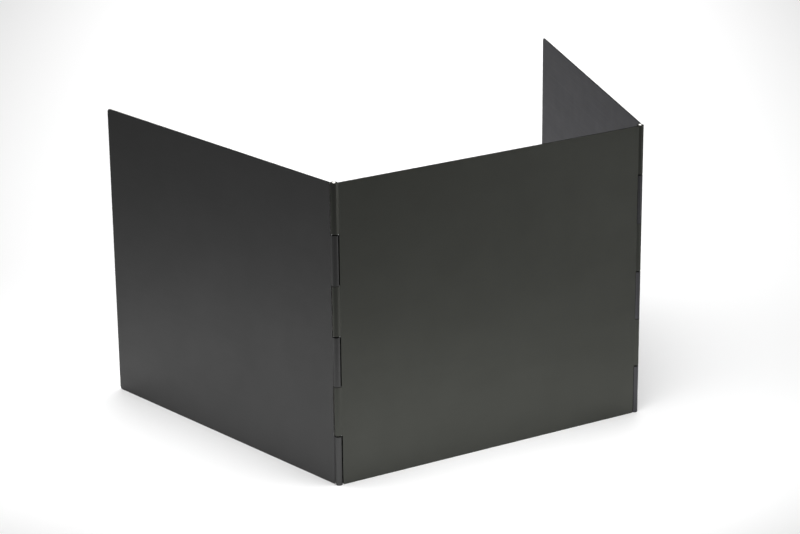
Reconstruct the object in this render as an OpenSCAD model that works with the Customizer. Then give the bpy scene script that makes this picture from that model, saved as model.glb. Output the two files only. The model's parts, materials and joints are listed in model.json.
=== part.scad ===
// Folding stove windscreen: three sheet panels joined by two pinned hinges.
// The knuckles are tabs of the panels themselves, rolled round a plain steel pin.
// Origin: middle of the front panel's bottom edge, on the mid-plane of its sheet.
// +X runs along the front panel, +Y points to the sheltered side, +Z is up.

/* [Panels] */
// Height of the three panels
panel_h = 220; // [120:1:320]
// Distance between the two hinge axes
hinge_span = 248; // [120:1:360]
// Thickness of the sheet
sheet_t = 1; // [0.6:0.1:2]
// Radius of the wings' free corners
corner_r = 2.5; // [0.5:0.5:12]
// Radius of the corners beside a hinge
hinge_corner_r = 1.2; // [0.2:0.1:4]
// Gap between the free edge of a folded wing and the far hinge
tip_gap = 1.4; // [0.5:0.1:6]

/* [Hinges] */
// Diameter of the hinge pins
pin_d = 3; // [1.6:0.1:6]
// Radial clearance between a pin and the knuckles round it
pin_clearance = 0.05; // [0.02:0.01:0.1]
// Knuckles on each hinge, counting those of both its panels
knuckle_count = 6; // [2:1:12]
// Gap along the pin above each knuckle of a wing
gap_over_wing = 0.9; // [0.2:0.1:1.5]
// Gap along the pin below each knuckle of a wing
gap_under_wing = 0.3; // [0.2:0.1:1.5]
// How far a knuckle stands proud of its panel's outer face
knuckle_proud = 0.6; // [0.1:0.05:0.8]
// Gap between a knuckle and the notched edge of the panel beside it
notch_gap = 0.1; // [0.05:0.05:1]
// Gap that is left where a rolled knuckle closes on its own sheet
seam_gap = 0.4; // [0.2:0.1:0.8]
// Height of a pin's domed end above the panels' top edges
pin_proud = 0.8; // [0.2:0.1:3]
// Height of the dome itself
pin_dome_h = 0.6; // [0.2:0.1:0.8]
// Depth of a pin's lower end inside the lowest knuckle
pin_inset = 0.5; // [0.2:0.1:5]
// Chamfer round a pin's lower end
pin_chamfer = 0.4; // [0.1:0.1:0.7]

/* [Pose] */
// How far the left wing is folded in from the line of the front panel, in degrees
left_fold = 77; // [0:0.5:120]
// How far the right wing is folded in from the line of the front panel, in degrees
right_fold = 73.5; // [0:0.5:120]

/* [Hidden] */
$fn = 96;

anodised = "#3b3b39";
bare_steel = "#b9b8b2";

// Rolled knuckle: the radii of its bore and of its outside
pin_r = pin_d / 2;
bore_r = pin_r + pin_clearance;
knuckle_r = bore_r + sheet_t;

// Distances from the hinge axis out to the panel's inner face, mid-plane and outer face
face_in = bore_r - knuckle_proud;
axis_in = face_in + sheet_t / 2;
face_out = face_in + sheet_t;

// A panel's flat sheet ends this far from the hinge axis, in the notches and at the tabs alike:
// the inner corner of a notched edge clears the knuckle that turns in the notch
notch_edge = sqrt((knuckle_r + notch_gap) ^ 2 - face_in ^ 2);

// A tab's section runs on this far into the flat sheet that it grows out of
tab_root = 2 * sheet_t;

// Neck: the slope from the flat sheet up to the knuckle. It makes most of the step between them,
// and the knuckle's own round makes the rest.
neck_share = 0.8;
neck_rise = neck_share * knuckle_proud;
neck_slope = atan(neck_rise / notch_edge);

// The roll stops where its outer corner comes within the seam gap of the neck's inner face
neck_depth = face_in * cos(neck_slope) + notch_edge * sin(neck_slope);
seam_turn = asin((neck_depth - seam_gap) / knuckle_r) - neck_slope;

// Knuckles are counted from the top: the front panel rolls the odd ones, the wings the even ones
pitch = panel_h / knuckle_count;
front_knuckles = [1 : 2 : knuckle_count];
wing_knuckles = [2 : 2 : knuckle_count];

// A folded wing lies between the two hinges
wing_w = hinge_span - knuckle_r - tip_gap;

left_axis = [-hinge_span / 2, axis_in, 0];
right_axis = [hinge_span / 2, axis_in, 0];

// Where a roll's end leaves the seam open
seam_mouth = [notch_edge, -notch_edge * tan(seam_turn)];

// Section of a tab: its flat root, neck and roll, with the hinge axis at the origin,
// its panel running off along +X and the panel's outer face towards -Y
module tab_section() {
    root_end = notch_edge + tab_root;
    bend_in = [notch_edge, -face_in];
    bend_out = [notch_edge, -face_out];
    neck_in = [0, -face_in - neck_rise];
    neck_out = [0, -face_out - neck_rise];
    difference() {
        union() {
            circle(knuckle_r);
            polygon([neck_out, bend_out, [root_end, -face_out], [root_end, -face_in], bend_in, neck_in]);
        }
        circle(bore_r);
        polygon([[0, 0], neck_in, bend_in, seam_mouth]);
    }
}

// Section of the roll alone
module roll_section() {
    difference() {
        circle(knuckle_r);
        circle(bore_r);
        polygon([[0, 0], [0, -2 * knuckle_r], [notch_edge, -2 * knuckle_r], seam_mouth]);
    }
}

// One panel's knuckles on a hinge, each taking half of the gap below it and of the gap above it.
// The end ones are flush with the panel's edges, and the lowest stands clear of the sheet's corner.
module knuckles(numbers, gap_below, gap_above) {
    for (i = numbers) {
        lowest = i == knuckle_count;
        low = lowest ? hinge_corner_r : panel_h - i * pitch + gap_below / 2;
        high = i == 1 ? panel_h : panel_h - (i - 1) * pitch - gap_above / 2;
        translate([0, 0, low])
            linear_extrude(high - low)
                tab_section();
        if (lowest)
            linear_extrude(high)
                roll_section();
    }
}

// What a rounded corner takes off a square one at the origin
module corner_waste(r) {
    difference() {
        square(r);
        translate([r, r])
            circle(r);
    }
}

// Flat sheet between two distances along X, standing on its lower edge on the plane y = 0.
// Radii are given for the corners low and high at its start, low and high at its end; 0 is square.
module sheet(start, end, radii) {
    rotate([90, 0, 0])
        linear_extrude(sheet_t, center = true)
            difference() {
                translate([start, 0])
                    square([end - start, panel_h]);
                if (radii[0] > 0)
                    translate([start, 0]) corner_waste(radii[0]);
                if (radii[1] > 0)
                    translate([start, panel_h]) mirror([0, 1]) corner_waste(radii[1]);
                if (radii[2] > 0)
                    translate([end, 0]) mirror([1, 0]) corner_waste(radii[2]);
                if (radii[3] > 0)
                    translate([end, panel_h]) rotate(180) corner_waste(radii[3]);
            }
}

// A wing as it stands straight out along +X from a hinge axis at the origin
module wing() {
    translate([0, -axis_in, 0])
        sheet(notch_edge, wing_w, [hinge_corner_r, hinge_corner_r, corner_r, corner_r]);
    knuckles(wing_knuckles, gap_under_wing, gap_over_wing);
}

// A hinge pin on the Z axis: chamfered below, domed above
module hinge_pin() {
    dome_r = (pin_r ^ 2 + pin_dome_h ^ 2) / (2 * pin_dome_h);
    tip = panel_h + pin_proud;
    shoulder = tip - pin_dome_h;
    body_low = pin_inset + pin_chamfer;
    translate([0, 0, pin_inset])
        cylinder(h = pin_chamfer, r1 = pin_r - pin_chamfer, r2 = pin_r);
    translate([0, 0, body_low])
        cylinder(h = shoulder - body_low, r = pin_r);
    intersection() {
        translate([0, 0, shoulder])
            cylinder(h = pin_dome_h, r = pin_r);
        translate([0, 0, tip - dome_r])
            sphere(dome_r);
    }
}

// Front panel: knuckles rolled from both its upright edges
module front_panel() {
    edge = hinge_span / 2 - notch_edge;
    color(anodised) {
        sheet(-edge, edge, [hinge_corner_r, 0, hinge_corner_r, 0]);
        translate(left_axis)
            knuckles(front_knuckles, gap_over_wing, gap_under_wing);
        translate(right_axis)
            mirror([1, 0, 0]) knuckles(front_knuckles, gap_over_wing, gap_under_wing);
    }
}

// Left wing, folded in about the left hinge
module left_panel() {
    color(anodised)
        translate(left_axis)
            rotate(-left_fold) mirror([1, 0, 0]) wing();
}

// Right wing, folded in about the right hinge
module right_panel() {
    color(anodised)
        translate(right_axis)
            rotate(right_fold) wing();
}

module left_hinge_pin() {
    color(bare_steel)
        translate(left_axis) hinge_pin();
}

module right_hinge_pin() {
    color(bare_steel)
        translate(right_axis) hinge_pin();
}

front_panel();
left_panel();
right_panel();
left_hinge_pin();
right_hinge_pin();
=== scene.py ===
import json
import math

import bmesh
import bpy
from mathutils import Matrix, Quaternion, Vector


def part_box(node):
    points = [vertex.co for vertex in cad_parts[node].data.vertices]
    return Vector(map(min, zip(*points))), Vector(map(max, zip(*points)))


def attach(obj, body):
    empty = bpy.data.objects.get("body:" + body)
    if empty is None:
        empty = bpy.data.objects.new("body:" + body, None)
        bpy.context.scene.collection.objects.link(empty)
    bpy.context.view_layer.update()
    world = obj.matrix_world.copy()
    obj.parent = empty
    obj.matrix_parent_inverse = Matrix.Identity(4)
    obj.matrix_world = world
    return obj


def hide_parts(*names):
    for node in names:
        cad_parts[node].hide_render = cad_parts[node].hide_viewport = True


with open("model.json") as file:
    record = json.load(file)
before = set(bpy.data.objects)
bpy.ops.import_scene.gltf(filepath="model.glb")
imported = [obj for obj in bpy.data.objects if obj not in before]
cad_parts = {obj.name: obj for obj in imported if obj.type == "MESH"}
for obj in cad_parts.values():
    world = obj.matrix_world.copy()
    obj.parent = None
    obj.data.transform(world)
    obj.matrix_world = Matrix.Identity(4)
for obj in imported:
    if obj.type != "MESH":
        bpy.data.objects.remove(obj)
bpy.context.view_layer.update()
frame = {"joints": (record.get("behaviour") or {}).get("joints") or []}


# Front panel
# One blank of aluminium sheet, notched down both upright edges. The tabs that are left between the
# notches are rolled round the hinge pins as knuckles, and then the whole panel is hard-anodised.
MM = 0.001
sheet_t = 1 * MM
edge_break = 0.1 * MM
break_angle = math.radians(40)
break_steps = 2
weld = 0.01 * MM
hinge_corner_r = 1.2 * MM
corner_steps = 8
pin_r = 1.5 * MM
pin_clearance = 0.05 * MM
rub_gap = 0.015 * MM
gap_over_wing = 0.9 * MM
gap_under_wing = 0.3 * MM
knuckle_count = 6
roll_turn = math.radians(282)
roll_steps = 40
neck_ease = 0.25
neck_steps = 10

hinge = {joint["name"]: Vector(joint["pos_m"]) for joint in frame["joints"]}
left_axis = hinge["left_fold"]
right_axis = hinge["right_fold"]
panel_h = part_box("front_panel")[1].z
pitch = panel_h / knuckle_count

# The front sheet's mid-plane is y = 0, so the hinge axis stands this far in from any panel's mid-plane
axis_in = left_axis.y
bore_r = pin_r + pin_clearance
knuckle_r = bore_r + sheet_t
roll_r = bore_r + sheet_t / 2

# A notched edge stops where its broken inner corner just clears the knuckle that turns beside it
corner_in = axis_in - sheet_t / 2 + edge_break
corner_reach = knuckle_r + rub_gap + edge_break
notch_edge = math.sqrt(corner_reach ** 2 - corner_in ** 2) - edge_break

# While a panel is made, material slots mark its sheared rims, broken corners, tabs and tabs' rims
rim_mark = 1
corner_mark = 2
tab_mark = 3
tab_rim_mark = tab_mark + rim_mark

# How far each is darkened towards near-black, from 0 on a flat face to 1 on torn metal: on the sheared
# rims and broken corners partly the dark oxide of torn metal and partly painted shade on the edges, on
# the tabs painted shade on the knuckles
mark_oxide_and_shade = {rim_mark: 1.0, tab_rim_mark: 1.0, corner_mark: 0.6, tab_mark: 0.15}

# The wings' notch edges take bare metal's colour in full, a painted highlight on their cut faces beside
# the knuckles, where handling only scuffs a broken corner
corner_wear = 1.0
notch_highlight_share = 40.0

# A noise texture's values lie mostly between these
noise_low, noise_mid, noise_high = 0.3, 0.5, 0.7


def linear(code):
    """An sRGB hex colour as linear RGBA."""
    parts = [int(code[i:i + 2], 16) / 255 for i in (1, 3, 5)]
    return [p / 12.92 if p <= 0.04045 else ((p + 0.055) / 1.055) ** 2.4 for p in parts] + [1.0]


def add(tree, kind, settings=None, **links):
    """Adds a node, sets its properties, and feeds each input from a socket or a value. An input is
    named with _ for a space, or numbered i0, i1 and so on where names repeat."""
    node = tree.nodes.new(kind)
    for name, value in (settings or {}).items():
        setattr(node, name, value)
    for name, value in links.items():
        key = int(name[1:]) if name[0] == "i" and name[1:].isdigit() else name.replace("_", " ")
        if isinstance(value, bpy.types.NodeSocket):
            tree.links.new(value, node.inputs[key])
        else:
            node.inputs[key].default_value = value
    return node


def hard_anodised(name, dark_dye, pale_dye):
    """Hard-anodised aluminium sheet: a thick dark oxide grown on an etched surface. It is satin, shows
    the mill's rolling lines and faint clouds of dye, and is smoother on the tabs, whose metal was
    burnished as it was rolled. It is nearly black on the sheared edges and broken corners, partly the
    oxide grown on torn metal and partly painted shade, and a little darker on the tabs, a painted
    shade on the knuckles. It is paler where handling scuffs its corners, and takes bare metal's colour
    on the wings' notch edges, a painted highlight. Its tint differs a little from sheet to sheet, with
    the alloy and the bath."""
    material = bpy.data.materials.new(name)
    material.use_nodes = True
    tree = material.node_tree
    tree.nodes.clear()
    place = add(tree, "ShaderNodeTexCoord").outputs["Object"]
    dark = add(tree, "ShaderNodeAttribute", {"attribute_name": "dark_oxide_and_shade"}).outputs["Fac"]
    wear_and_highlight = add(tree, "ShaderNodeAttribute", {"attribute_name": "edge_wear_and_highlight"}).outputs["Fac"]
    rolled = add(tree, "ShaderNodeAttribute", {"attribute_name": "rolled_tab"}).outputs["Fac"]

    # Etch pits are a few hundredths of a millimetre across; they are drawn coarser, to show at all
    etch_pit = 0.35 * MM
    dye_cloud = 38 * MM
    rolling_line = 0.5 * MM
    rolling_run = 70 * MM
    hand_mark = 16 * MM
    pits = add(tree, "ShaderNodeTexNoise", Vector=place, Scale=1 / etch_pit, Detail=2.0).outputs[0]
    dye = add(tree, "ShaderNodeTexNoise", Vector=place, Scale=1 / dye_cloud, Detail=3.0).outputs[0]
    drawn_out = add(tree, "ShaderNodeMapping", Vector=place,
                    Scale=(1 / rolling_run, 1 / rolling_run, 1 / rolling_line)).outputs[0]
    lines = add(tree, "ShaderNodeTexNoise", Vector=drawn_out, Scale=1.0, Detail=3.0).outputs[0]
    marks = add(tree, "ShaderNodeTexNoise", Vector=place, Scale=1 / hand_mark, Detail=4.0,
                Distortion=0.6).outputs[0]

    # Near-black, for the oxide on torn metal and for the painted shade on edges and knuckles
    oxide_and_shade_black = "#141413"
    # Bare metal's colour, for scuffs on broken corners and for the painted highlight on the wings'
    # notch edges
    bare_metal_and_highlight = "#d4d4d1"
    least_rubbed, most_rubbed = 0.02, 0.16
    skin = add(tree, "ShaderNodeMix", {"data_type": "RGBA"}, i0=dye, i6=linear(dark_dye),
               i7=linear(pale_dye)).outputs[2]
    # The skin is darkened towards near-black on rims, corners and tabs: partly oxide on torn metal,
    # partly painted shade
    oxide = add(tree, "ShaderNodeMix", {"data_type": "RGBA"}, i0=dark, i6=skin,
                i7=linear(oxide_and_shade_black)).outputs[2]
    bared = add(tree, "ShaderNodeMapRange", Value=marks, From_Min=noise_mid, From_Max=noise_high,
                 To_Min=least_rubbed, To_Max=most_rubbed).outputs[0]
    bare = add(tree, "ShaderNodeMath", {"operation": "MULTIPLY", "use_clamp": True}, i0=wear_and_highlight,
               i1=bared).outputs[0]
    colour = add(tree, "ShaderNodeMix", {"data_type": "RGBA"}, i0=bare, i6=oxide,
                 i7=linear(bare_metal_and_highlight)).outputs[2]

    # Roughness: satin along the rolling lines, and what handling, rolling, shearing and rubbing change
    satin_low, satin_high = 0.36, 0.42
    handled = 0.02
    burnished = -0.2
    torn = 0.2
    scuffed = 0.3
    lined = add(tree, "ShaderNodeMapRange", Value=lines, From_Min=noise_low, From_Max=noise_high,
                To_Min=satin_low, To_Max=satin_high).outputs[0]
    touched = add(tree, "ShaderNodeMapRange", Value=marks, From_Min=noise_low, From_Max=noise_high,
                  To_Min=-handled, To_Max=handled).outputs[0]
    face_rough = add(tree, "ShaderNodeMath", i0=lined, i1=touched).outputs[0]
    tab_rough = add(tree, "ShaderNodeMath", {"operation": "MULTIPLY_ADD"}, i0=rolled, i1=burnished,
                    i2=face_rough).outputs[0]
    cut_rough = add(tree, "ShaderNodeMath", {"operation": "MULTIPLY_ADD"}, i0=dark, i1=torn,
                    i2=tab_rough).outputs[0]
    rough = add(tree, "ShaderNodeMath", {"operation": "MULTIPLY_ADD"}, i0=bare, i1=scuffed,
                i2=cut_rough).outputs[0]

    # The rolling lines are half as deep as the pits
    line_depth = 0.5
    relief_depth = 0.03 * MM
    relief = add(tree, "ShaderNodeMath", {"operation": "MULTIPLY_ADD"}, i0=lines, i1=line_depth,
                 i2=pits).outputs[0]
    bump = add(tree, "ShaderNodeBump", Height=relief, Strength=0.12, Distance=relief_depth).outputs[0]
    shader = add(tree, "ShaderNodeBsdfPrincipled", Base_Color=colour, Metallic=1.0, Roughness=rough,
                 Normal=bump, Specular_Tint=linear("#bcbcbc"))
    add(tree, "ShaderNodeOutputMaterial", Surface=shader.outputs[0])
    return material


def knuckle_tree():
    """Geometry nodes that put a rolled strip on each point of a mesh, scaled by its strip_scale. Its
    section is a roll round the hinge axis, with a neck that leaves the sheet's level where has_neck
    is 1."""
    tree = bpy.data.node_groups.new("rolled_knuckles", "GeometryNodeTree")
    sockets = {
        "NodeSocketGeometry": ["Hinge Points"],
        "NodeSocketFloat": ["Roll Radius", "Roll Turn", "Neck Run", "Neck Ease", "Sheet Level"],
        "NodeSocketInt": ["Roll Steps", "Neck Steps"],
        "NodeSocketMaterial": ["Sheet"],
    }
    for kind, names in sockets.items():
        for name in names:
            tree.interface.new_socket(name, in_out="INPUT", socket_type=kind)
    tree.interface.new_socket("Tabs", in_out="OUTPUT", socket_type="NodeSocketGeometry")
    given = add(tree, "NodeGroupInput").outputs

    # The neck is an S, level at both its ends
    run, level = given["Neck Run"], given["Sheet Level"]
    foot = add(tree, "ShaderNodeMath", {"operation": "MULTIPLY"}, i0=given["Roll Radius"],
               i1=-1.0).outputs[0]
    far = add(tree, "ShaderNodeMath", {"operation": "MULTIPLY"}, i0=run,
              i1=given["Neck Ease"]).outputs[0]
    near = add(tree, "ShaderNodeMath", {"operation": "SUBTRACT"}, i0=run, i1=far).outputs[0]
    start = add(tree, "ShaderNodeCombineXYZ", X=run, Y=level).outputs[0]
    leave = add(tree, "ShaderNodeCombineXYZ", X=near, Y=level).outputs[0]
    reach = add(tree, "ShaderNodeCombineXYZ", X=far, Y=foot).outputs[0]
    end = add(tree, "ShaderNodeCombineXYZ", Y=foot).outputs[0]
    neck = add(tree, "GeometryNodeCurvePrimitiveBezierSegment", Resolution=given["Neck Steps"],
               Start=start, Start_Handle=leave, End_Handle=reach, End=end)
    roll = add(tree, "GeometryNodeCurveArc", {"mode": "RADIUS"}, Resolution=given["Roll Steps"],
               Radius=given["Roll Radius"], Start_Angle=-math.pi / 2, Sweep_Angle=given["Roll Turn"])
    necked_roll = add(tree, "GeometryNodeJoinGeometry", Geometry=roll.outputs["Curve"])
    tree.links.new(neck.outputs[0], necked_roll.inputs[0])

    # The two sections stand up as strips one metre high, which the points' scales cut to length
    upward = add(tree, "ShaderNodeCombineXYZ", Z=1.0)
    strips = tree.nodes.new("GeometryNodeJoinGeometry")
    for curve in (necked_roll.outputs[0], roll.outputs["Curve"]):
        line = add(tree, "GeometryNodeCurveToMesh", Curve=curve)
        section = add(tree, "GeometryNodeMergeByDistance", Geometry=line.outputs[0], Distance=weld)
        strip = add(tree, "GeometryNodeExtrudeMesh", {"mode": "EDGES"}, Mesh=section.outputs[0],
                    Offset=upward.outputs[0])
        choice = add(tree, "GeometryNodeGeometryToInstance", Geometry=strip.outputs[0])
        tree.links.new(choice.outputs[0], strips.inputs[0])
    scale = add(tree, "GeometryNodeInputNamedAttribute", {"data_type": "FLOAT_VECTOR"},
                Name="strip_scale")
    has_neck = add(tree, "GeometryNodeInputNamedAttribute", {"data_type": "INT"}, Name="has_neck")
    row = add(tree, "GeometryNodeInstanceOnPoints", Points=given["Hinge Points"],
              Instance=strips.outputs[0], Pick_Instance=True, Instance_Index=has_neck.outputs[0],
              Scale=scale.outputs[0])
    real = add(tree, "GeometryNodeRealizeInstances", Geometry=row.outputs[0])
    dressed = add(tree, "GeometryNodeSetMaterial", Geometry=real.outputs[0], Material=given["Sheet"])
    add(tree, "NodeGroupOutput", Tabs=dressed.outputs[0])
    return tree


def evaluated_mesh(obj):
    """The object's mesh as its modifiers leave it."""
    graph = bpy.context.evaluated_depsgraph_get()
    return bpy.data.meshes.new_from_object(obj.evaluated_get(graph), depsgraph=graph)


def tab_ends(numbers, gap_below, gap_above):
    """Heights of each tab's lower and upper end, from the bottom up. Tabs are numbered from the top.
    The top one is flush with the panel's edge, and the lowest starts above the sheet's rounded
    corner."""
    ends = []
    for i in sorted(numbers, reverse=True):
        low = hinge_corner_r if i == knuckle_count else panel_h - i * pitch + gap_below / 2
        high = panel_h if i == 1 else panel_h - (i - 1) * pitch - gap_above / 2
        ends.append((low, high))
    return ends


def knuckle_row(axes, tabs, finish):
    """Mid-surface of the rolled tabs on hinge axes given as (x, y, side): side is 1 where the panel
    runs off along +X, and -1 where it runs off along -X. The lowest tab's roll goes on down to the
    ground, clear of the sheet's corner."""
    strips = [(low, high, 1) for low, high in tabs]
    if tabs[0][0] == hinge_corner_r:
        strips.append((0, hinge_corner_r, 0))
    mesh = bpy.data.meshes.new("knuckle_row")
    mesh.from_pydata([(x, y, low) for x, y, side in axes for low, high, neck in strips], [], [])
    scales = [s for x, y, side in axes for low, high, neck in strips for s in (side, 1, high - low)]
    mesh.attributes.new("strip_scale", "FLOAT_VECTOR", "POINT").data.foreach_set("vector", scales)
    necks = [neck for axis in axes for low, high, neck in strips]
    mesh.attributes.new("has_neck", "INT", "POINT").data.foreach_set("value", necks)
    obj = bpy.data.objects.new("knuckle_row", mesh)
    bpy.context.scene.collection.objects.link(obj)
    modifier = obj.modifiers.new("rolled_knuckles", "NODES")
    modifier.node_group = rolled_knuckles
    sizes = {"Roll Radius": roll_r, "Roll Turn": -roll_turn, "Roll Steps": roll_steps,
             "Neck Run": notch_edge, "Neck Ease": neck_ease, "Neck Steps": neck_steps,
             "Sheet Level": -axis_in, "Sheet": finish}
    for item in rolled_knuckles.interface.items_tree:
        if item.name in sizes:
            modifier[item.identifier] = sizes[item.name]
    row = evaluated_mesh(obj)
    bpy.data.objects.remove(obj)
    return row


def upright_edge(x, inward, tabs, radius):
    """Outline up an upright edge at x, with points at its tabs' ends. Its corners are rounded, but for
    a top one that a tab runs up to."""
    turn = [math.pi / 2 * i / corner_steps for i in range(corner_steps + 1)]
    corner = [(radius * (1 - math.sin(t)), radius * (1 - math.cos(t))) for t in turn]
    heights = [h for tab in tabs for h in tab]
    points = [(x + inward * a, b) for a, b in corner] + [(x, h) for h in heights if h > radius]
    if panel_h not in heights:
        points += [(x + inward * a, panel_h - b) for a, b in reversed(corner)]
    return points


def panel(name, start_edge, end_edge, plane_y, row, place, finish, painted_notch):
    """One panel: its flat sheet and rolled tabs as one surface, given its thickness and broken edges.
    The edges of the notches at local x = notch_edge may be given a painted highlight: bare metal's
    colour, without a sheared rim's darkening."""
    shape = bmesh.new()
    shape.from_mesh(row)
    for face in shape.faces:
        face.material_index = tab_mark
    outline = end_edge + list(reversed(start_edge))
    shape.faces.new([shape.verts.new((x, plane_y, z)) for x, z in outline])
    bmesh.ops.remove_doubles(shape, verts=shape.verts, dist=weld)
    shape.transform(place)
    bmesh.ops.recalc_face_normals(shape, faces=shape.faces)
    for face in shape.faces:
        face.smooth = True
    mesh = bpy.data.meshes.new(name)
    shape.to_mesh(mesh)
    shape.free()
    obj = bpy.data.objects.new(name, mesh)
    bpy.context.scene.collection.objects.link(obj)

    for slot in range(tab_rim_mark + 1):
        mesh.materials.append(finish)
    wall = obj.modifiers.new("wall", "SOLIDIFY")
    wall.thickness = sheet_t
    wall.offset = 0
    wall.use_even_offset = True
    wall.material_offset_rim = rim_mark
    rounding = obj.modifiers.new("edge_break", "BEVEL")
    rounding.width = edge_break
    rounding.segments = break_steps
    rounding.limit_method = "ANGLE"
    rounding.angle_limit = break_angle
    rounding.use_clamp_overlap = False
    rounding.material = corner_mark
    flats = obj.modifiers.new("flats", "WEIGHTED_NORMAL")
    flats.keep_sharp = False
    made = evaluated_mesh(obj)
    obj.modifiers.clear()

    # The marks become attributes that the finish reads, and the panel keeps one material
    to_local = place.inverted()
    dark, wear_and_highlight, rolled = [], [], []
    for face in made.polygons:
        mark = face.material_index
        at_notch = abs((to_local @ face.center).x - notch_edge) < edge_break
        # A wing's notch rims get bare metal's colour and no darkening: a painted highlight on the cut
        # faces
        bared = painted_notch and at_notch and mark in (rim_mark, tab_rim_mark)
        # Rims, corners and tabs are darkened: partly oxide on torn metal, partly painted shade
        dark.append(0.0 if bared else mark_oxide_and_shade.get(mark, 0.0))
        wear_and_highlight.append(notch_highlight_share if bared else corner_wear if mark == corner_mark else 0.0)
        rolled.append(1.0 if mark == tab_mark else 0.0)
    for attribute, values in (("dark_oxide_and_shade", dark), ("edge_wear_and_highlight", wear_and_highlight), ("rolled_tab", rolled)):
        made.attributes.new(attribute, "FLOAT", "FACE").data.foreach_set("value", values)
    made.polygons.foreach_set("material_index", [0] * len(made.polygons))
    made.materials.clear()
    made.materials.append(finish)
    obj.data = made
    return obj


front_finish = hard_anodised("hard_anodised_front", "#474844", "#4e4f4b")
rolled_knuckles = knuckle_tree()
front_tabs = tab_ends(range(1, knuckle_count + 1, 2), gap_over_wing, gap_under_wing)
front_axes = [(left_axis.x, left_axis.y, 1), (right_axis.x, right_axis.y, -1)]
front = panel(
    "front_sheet",
    upright_edge(left_axis.x + notch_edge, 1, front_tabs, hinge_corner_r),
    upright_edge(right_axis.x - notch_edge, -1, front_tabs, hinge_corner_r),
    0,
    knuckle_row(front_axes, front_tabs, front_finish),
    Matrix.Identity(4),
    front_finish,
    False,
)
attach(front, "front")
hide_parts("front_panel")


# Left wing
# The same anodised sheet with tabs down one edge only, rolled round the left pin between the front
# panel's knuckles. Its free corners are cut to a larger radius, so that they don't catch.
left_fold = math.radians(77)
corner_r = 2.5 * MM
tip_gap = 1.4 * MM
wing_w = right_axis.x - left_axis.x - knuckle_r - tip_gap
wing_tabs = tab_ends(range(2, knuckle_count + 1, 2), gap_under_wing, gap_over_wing)


def wing(name, place, finish):
    """A wing that stands straight out along +X from a hinge axis at the origin, put in its place."""
    return panel(
        name,
        upright_edge(notch_edge, 1, wing_tabs, hinge_corner_r),
        upright_edge(wing_w, -1, [], corner_r),
        -axis_in,
        knuckle_row([(0, 0, 1)], wing_tabs, finish),
        place,
        finish,
        True,
    )


flipped = Matrix.Scale(-1, 4, (1, 0, 0))
left_foot = Matrix.Translation((left_axis.x, left_axis.y, 0))
left_finish = hard_anodised("hard_anodised_left", "#4b4b4b", "#515151")
left = wing("left_sheet", left_foot @ Matrix.Rotation(-left_fold, 4, "Z") @ flipped, left_finish)
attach(left, "left_wing")
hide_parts("left_panel")


# Right wing
# The left wing's mirror image, from another sheet of the same aluminium, with a slightly bluer oxide.
# Its tabs are rolled round the right pin, and it stands a little less folded in.
right_fold = math.radians(73.5)
right_foot = Matrix.Translation((right_axis.x, right_axis.y, 0))
right_finish = hard_anodised("hard_anodised_right", "#4b4b4d", "#515154")
right = wing("right_sheet", right_foot @ Matrix.Rotation(right_fold, 4, "Z"), right_finish)
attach(right, "right_wing")
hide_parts("right_panel")


# Hinge pins
# Two lengths of bare drawn steel wire, pushed down through the knuckles: domed on top, where the end
# shows a little above the panels, and chamfered below, just inside the lowest knuckle.
pin_proud = 0.8 * MM
pin_dome_h = 0.6 * MM
pin_inset = 0.5 * MM
pin_chamfer = 0.4 * MM
pin_sides = 48
dome_steps = 8
sharp_angle = math.radians(30)


def drawn_steel():
    """Drawn steel wire: bright and smooth from the die, with fine draw marks along its length and a
    slightly warm film of oil. Below the panels' top edges it is painted near-black and rougher, a
    painted shade for the gaps between the knuckles."""
    material = bpy.data.materials.new("drawn_steel_wire")
    material.use_nodes = True
    tree = material.node_tree
    tree.nodes.clear()
    place = add(tree, "ShaderNodeTexCoord").outputs["Object"]

    # Draw marks are drawn coarser than the real ones, which are too fine to show
    draw_mark = 0.12 * MM
    draw_run = 20 * MM
    film = 2.5 * MM
    drawn_out = add(tree, "ShaderNodeMapping", Vector=place,
                    Scale=(1 / draw_mark, 1 / draw_mark, 1 / draw_run)).outputs[0]
    lines = add(tree, "ShaderNodeTexNoise", Vector=drawn_out, Scale=1.0, Detail=2.0).outputs[0]
    dull = add(tree, "ShaderNodeTexNoise", Vector=place, Scale=1 / film, Detail=3.0).outputs[0]

    # The wire turns from bright to painted near-black shade over a short length below the panels' top
    # edges
    shade_fade = 0.3 * MM
    height = add(tree, "ShaderNodeSeparateXYZ", Vector=place).outputs["Z"]
    gap_shade = add(tree, "ShaderNodeMapRange", Value=height, From_Min=panel_h - shade_fade,
                 From_Max=panel_h, To_Min=1.0, To_Max=0.0).outputs[0]
    wire = add(tree, "ShaderNodeMix", {"data_type": "RGBA"}, i0=dull, i6=linear("#d8d7d2"),
               i7=linear("#bdbab2")).outputs[2]
    # Below the top the wire is painted near-black: painted shade in the knuckles' gaps
    colour = add(tree, "ShaderNodeMix", {"data_type": "RGBA"}, i0=gap_shade, i6=wire,
                 i7=linear("#1d1c1b")).outputs[2]
    bright_rough, oily_rough = 0.22, 0.36
    gap_rough = 0.25
    clean_rough = add(tree, "ShaderNodeMapRange", Value=dull, From_Min=noise_low, From_Max=noise_high,
                      To_Min=bright_rough, To_Max=oily_rough).outputs[0]
    rough = add(tree, "ShaderNodeMath", {"operation": "MULTIPLY_ADD"}, i0=gap_shade, i1=gap_rough,
                i2=clean_rough).outputs[0]
    mark_depth = 0.01 * MM
    bump = add(tree, "ShaderNodeBump", Height=lines, Strength=0.2, Distance=mark_depth).outputs[0]
    shader = add(tree, "ShaderNodeBsdfPrincipled", Base_Color=colour, Metallic=1.0, Roughness=rough,
                 Normal=bump)
    add(tree, "ShaderNodeOutputMaterial", Surface=shader.outputs[0])
    return material


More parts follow.
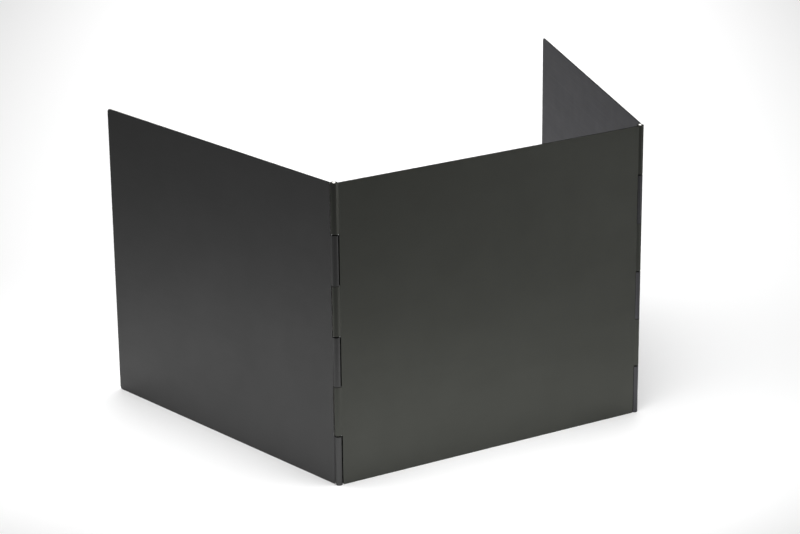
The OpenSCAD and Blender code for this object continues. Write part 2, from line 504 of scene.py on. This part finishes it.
def hinge_pin(name, axis):
    """A wire pin turned from its profile round a hinge axis, closed by a point at each end's middle."""
    tip = panel_h + pin_proud
    dome_r = (pin_r ** 2 + pin_dome_h ** 2) / (2 * pin_dome_h)
    dome_turn = math.asin(pin_r / dome_r)
    profile = [(pin_r - pin_chamfer, pin_inset), (pin_r, pin_inset + pin_chamfer)]
    for i in range(dome_steps):
        t = dome_turn * (1 - i / dome_steps)
        profile.append((dome_r * math.sin(t), tip - dome_r * (1 - math.cos(t))))
    shape = bmesh.new()
    rings = []
    for r, z in profile:
        ring = []
        for k in range(pin_sides):
            a = 2 * math.pi * k / pin_sides
            ring.append(shape.verts.new((axis.x + r * math.cos(a), axis.y + r * math.sin(a), z)))
        rings.append(ring)
    low = shape.verts.new((axis.x, axis.y, pin_inset))
    top = shape.verts.new((axis.x, axis.y, tip))
    for k in range(pin_sides):
        n = (k + 1) % pin_sides
        shape.faces.new((low, rings[0][n], rings[0][k]))
        for under, over in zip(rings, rings[1:]):
            shape.faces.new((under[k], under[n], over[n], over[k]))
        shape.faces.new((rings[-1][k], rings[-1][n], top))
    for face in shape.faces:
        face.smooth = True
    for edge in shape.edges:
        edge.smooth = edge.calc_face_angle() < sharp_angle
    mesh = bpy.data.meshes.new(name)
    shape.to_mesh(mesh)
    shape.free()
    mesh.materials.append(steel)
    obj = bpy.data.objects.new(name, mesh)
    bpy.context.scene.collection.objects.link(obj)
    return obj


steel = drawn_steel()
for side, axis in (("left", left_axis), ("right", right_axis)):
    pin = hinge_pin(side + "_pin", axis)
    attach(pin, "front")
    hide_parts(side + "_hinge_pin")


# Studio
# A white floor, lit by soft banks with grids that keep their light on the floor round the object,
# in a room of plain grey. The panels mirror the floor, so they fall off from pale feet to dark tops.
floor_r = 6.0
floor_mesh = bpy.data.meshes.new("floor")
floor_mesh.from_pydata([(-floor_r, -floor_r, 0), (floor_r, -floor_r, 0), (floor_r, floor_r, 0),
                        (-floor_r, floor_r, 0)], [], [(0, 1, 2, 3)])
floor = bpy.data.objects.new("floor", floor_mesh)
bpy.context.scene.collection.objects.link(floor)
paper = bpy.data.materials.new("white_paper")
paper.use_nodes = True
paper_shader = paper.node_tree.nodes["Principled BSDF"]
paper_shader.inputs["Base Color"].default_value = linear("#fbfbfb")
paper_shader.inputs["Roughness"].default_value = 0.9
paper_shader.inputs["Specular IOR Level"].default_value = 0.1
floor_mesh.materials.append(paper)

# Each bank hangs level: its width and depth, its turn in the level and its grid's spread in degrees
banks = {
    "back_bank": {"place": (0.4, 0.8, 0.75), "size": (0.75, 2.1), "turn": -30, "watts": 7.4,
                  "spread": 110},
    "front_bank": {"place": (0, -0.065, 0.42), "size": (0.35, 0.09), "turn": 0, "watts": 0.185,
                   "spread": 63},
    "left_bank": {"place": (-0.228, 0.15, 0.42), "size": (0.14, 0.42), "turn": 27, "watts": 0.205,
                  "spread": 68},
    "right_bank": {"place": (0.48, -0.46, 0.47), "size": (0.22, 0.36), "turn": 0, "watts": 0.38,
                   "spread": 57},
}
for name, hung in banks.items():
    lamp = bpy.data.lights.new(name, "AREA")
    lamp.shape = "RECTANGLE"
    lamp.size, lamp.size_y = hung["size"]
    lamp.energy = hung["watts"]
    lamp.spread = math.radians(hung["spread"])
    bank = bpy.data.objects.new(name, lamp)
    bpy.context.scene.collection.objects.link(bank)
    bank.location = hung["place"]
    bank.rotation_euler = (0, 0, math.radians(hung["turn"]))
    bank.visible_camera = False

world = bpy.data.worlds.new("studio")
world.use_nodes = True
bpy.context.scene.world = world
world.node_tree.nodes["Background"].inputs["Color"].default_value = linear("#8f8f8f")
world.node_tree.nodes["Background"].inputs["Strength"].default_value = 1.0
bpy.context.scene.view_settings.view_transform = "Standard"


# Camera
# Where the photograph was taken from, found by fitting the panels' edges: a long lens to the left of
# the front panel, looking down on it, and level but for half a degree.
azimuth = math.radians(-30.0833)
elevation = math.radians(19.9907)
roll = math.radians(0.533)
camera_data = bpy.data.cameras.new("camera")
camera_data.lens = 121.85
camera_data.sensor_width = 36
camera = bpy.data.objects.new("camera", camera_data)
bpy.context.scene.collection.objects.link(camera)
back = Vector((math.sin(azimuth) * math.cos(elevation), -math.cos(azimuth) * math.cos(elevation),
               math.sin(elevation)))
camera.location = Vector((-944.53, -1501.79, 782.59)) * MM
camera.rotation_mode = "QUATERNION"
camera.rotation_quaternion = back.to_track_quat("Z", "Y") @ Quaternion((0, 0, 1), -roll)
bpy.context.scene.camera = camera
